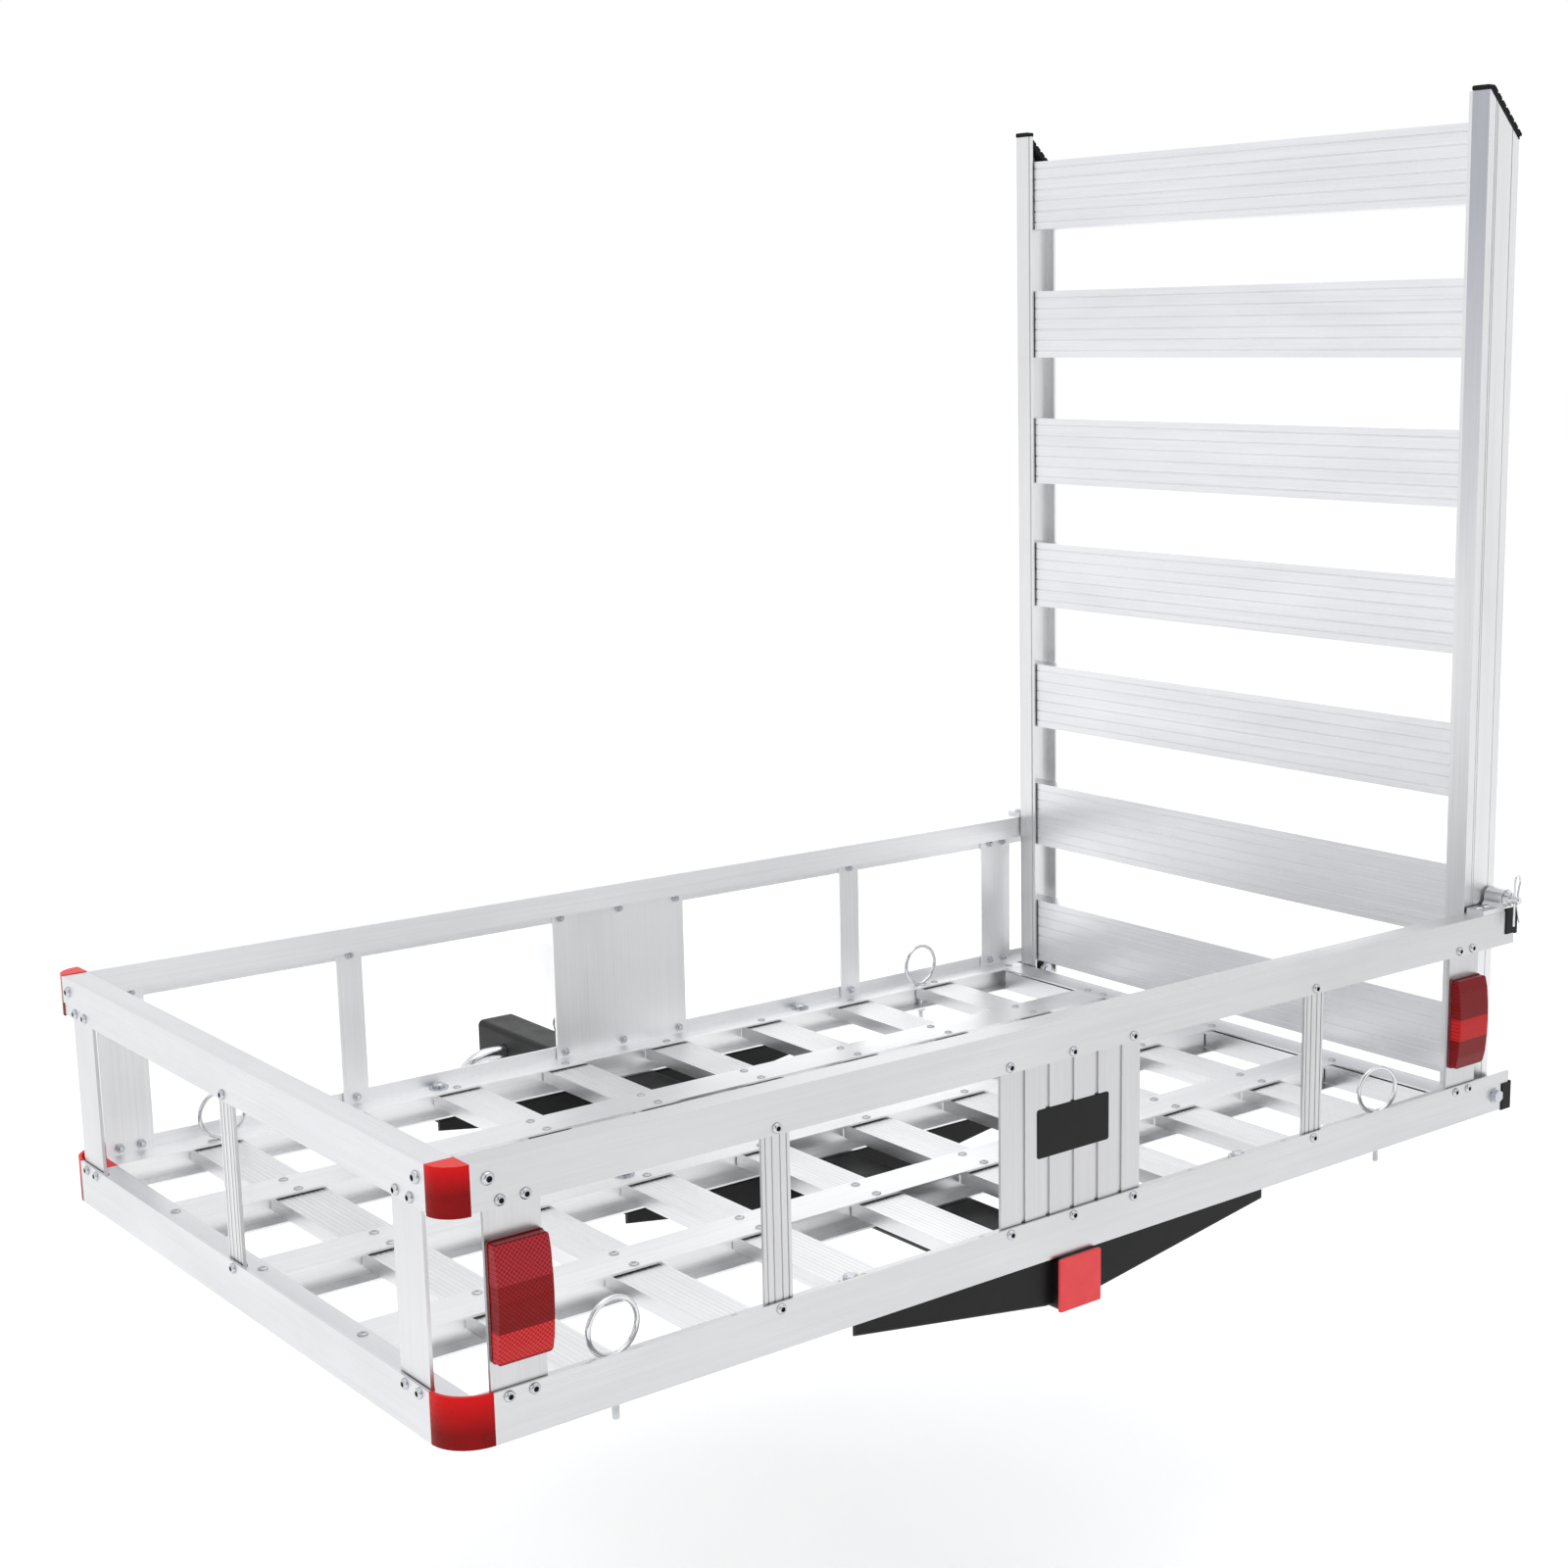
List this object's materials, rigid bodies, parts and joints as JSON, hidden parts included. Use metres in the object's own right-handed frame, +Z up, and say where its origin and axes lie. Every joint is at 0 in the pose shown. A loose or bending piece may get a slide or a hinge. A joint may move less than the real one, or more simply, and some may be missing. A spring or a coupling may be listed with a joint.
{
  "type": "hitch cargo carrier",
  "caption": "Aluminium hitch-mounted cargo carrier: slatted deck with low side rails, square steel hitch shank, and a full-width ladder-tread ramp that folds up across one end.",
  "frame": {"origin": "centre of the hitch pin hole in the square shank", "axes": "+Y along the shank into the vehicle's receiver, +X along the long side towards the ramp, +Z up"},
  "size_m": [1.276, 1.09, 1.1627],
  "materials": {
    "mill_aluminium": "mill finish extrusion, fine lengthwise draw lines",
    "ribbed_aluminium": "mill finish, fine ribs",
    "post_aluminium": "mill finish, slightly darker flat strip",
    "rivet_aluminium": "satin",
    "zinc_steel": "bright zinc plate",
    "bright_zinc": "polished zinc plate",
    "black_coated_steel": "black powder coat",
    "red_plastic": "translucent red moulding, gloss",
    "red_plug": "soft red vinyl",
    "reflector_red": "prismatic reflector lens, gloss",
    "reflector_base_red": "dark red moulded base",
    "label_black": "satin printed film, plain",
    "black_plastic": "moulded, fine grain",
    "nylon_black": "smooth nylon",
    "black_rubber": "ribbed rubber"
  },
  "bodies": {
    "carrier": {"lower_rail_near": "mill_aluminium", "lower_rail_far": "mill_aluminium", "lower_rail_left": "mill_aluminium", "deck_rail_near": "mill_aluminium", "deck_rail_mid": "mill_aluminium", "deck_rail_far": "mill_aluminium", "deck_end_rail": "mill_aluminium", "deck_slats_row_1": "ribbed_aluminium", "deck_slats_row_2": "ribbed_aluminium", "deck_slats_row_3": "ribbed_aluminium", "deck_slats_row_4": "ribbed_aluminium", "deck_rivets": "rivet_aluminium", "top_rail_near": "mill_aluminium", "top_rail_far": "mill_aluminium", "top_rail_left": "mill_aluminium", "corner_cap_top_near": "red_plastic", "corner_cap_top_far": "red_plastic", "corner_cap_low_near": "red_plastic", "corner_cap_low_far": "red_plastic", "corner_bolts": "zinc_steel", "posts_wide_near": "post_aluminium", "posts_slim_near": "post_aluminium", "posts_wide_far": "post_aluminium", "posts_slim_far": "post_aluminium", "end_posts_wide": "post_aluminium", "end_post_slim": "post_aluminium", "panel_near": "post_aluminium", "panel_label": "label_black", "panel_far": "post_aluminium", "panel_gussets": "post_aluminium", "side_screws": "zinc_steel", "side_nuts": "zinc_steel", "end_plugs": "black_plastic", "reflector_bases": "reflector_base_red", "reflector_lenses": "reflector_red", "tie_down_eyes": "zinc_steel", "tie_down_nuts": "zinc_steel", "cross_beam_near": "black_coated_steel", "cross_beam_mid": "black_coated_steel", "cross_beam_far": "black_coated_steel", "beam_bolts": "zinc_steel", "beam_nuts": "zinc_steel", "hitch_shank": "black_coated_steel", "shank_plug": "red_plug", "pivot_bolts": "zinc_steel", "pivot_spacers": "nylon_black", "pivot_nuts": "zinc_steel", "latch_brackets": "mill_aluminium", "latch_screws": "zinc_steel"},
    "ramp": {"ramp_rail_near": "mill_aluminium", "ramp_rail_far": "mill_aluminium", "ramp_treads": "ribbed_aluminium", "ramp_feet": "black_rubber", "ramp_bushes": "nylon_black"},
    "latch_pin_near": {"latch_pin_near": "bright_zinc"},
    "latch_pin_far": {"latch_pin_far": "bright_zinc"},
    "latch_clip_near": {"latch_clip_near": "bright_zinc"},
    "latch_clip_far": {"latch_clip_far": "bright_zinc"},
    "hitch_pin": {"hitch_pin": "bright_zinc"},
    "hitch_pin_clip": {"hitch_pin_clip": "bright_zinc"}
  },
  "joints": [
    {"name": "ramp_hinge", "type": "hinge", "parent": "carrier", "child": "ramp", "pos_m": [0.621, -0.621, 0.0436], "axis": [0, 1, 0], "range_deg": [0, 115]},
    {"name": "latch_pin_near_slide", "type": "slide", "parent": "carrier", "child": "latch_pin_near", "axis": [0, -1, 0], "range_m": [0, 0.045]},
    {"name": "latch_pin_far_slide", "type": "slide", "parent": "carrier", "child": "latch_pin_far", "axis": [0, 1, 0], "range_m": [0, 0.045]},
    {"name": "latch_clip_near_pull", "type": "slide", "parent": "latch_pin_near", "child": "latch_clip_near", "axis": [0, 0, 1], "range_m": [0, 0.05]},
    {"name": "latch_clip_far_pull", "type": "slide", "parent": "latch_pin_far", "child": "latch_clip_far", "axis": [0, 0, 1], "range_m": [0, 0.05]},
    {"name": "hitch_pin_swivel", "type": "hinge", "parent": "carrier", "child": "hitch_pin", "pos_m": [0, 0, 0], "axis": [1, 0, 0], "continuous": true},
    {"name": "hitch_clip_pull", "type": "slide", "parent": "hitch_pin", "child": "hitch_pin_clip", "axis": [0, 0, 1], "range_m": [0, 0.075]}
  ]
}
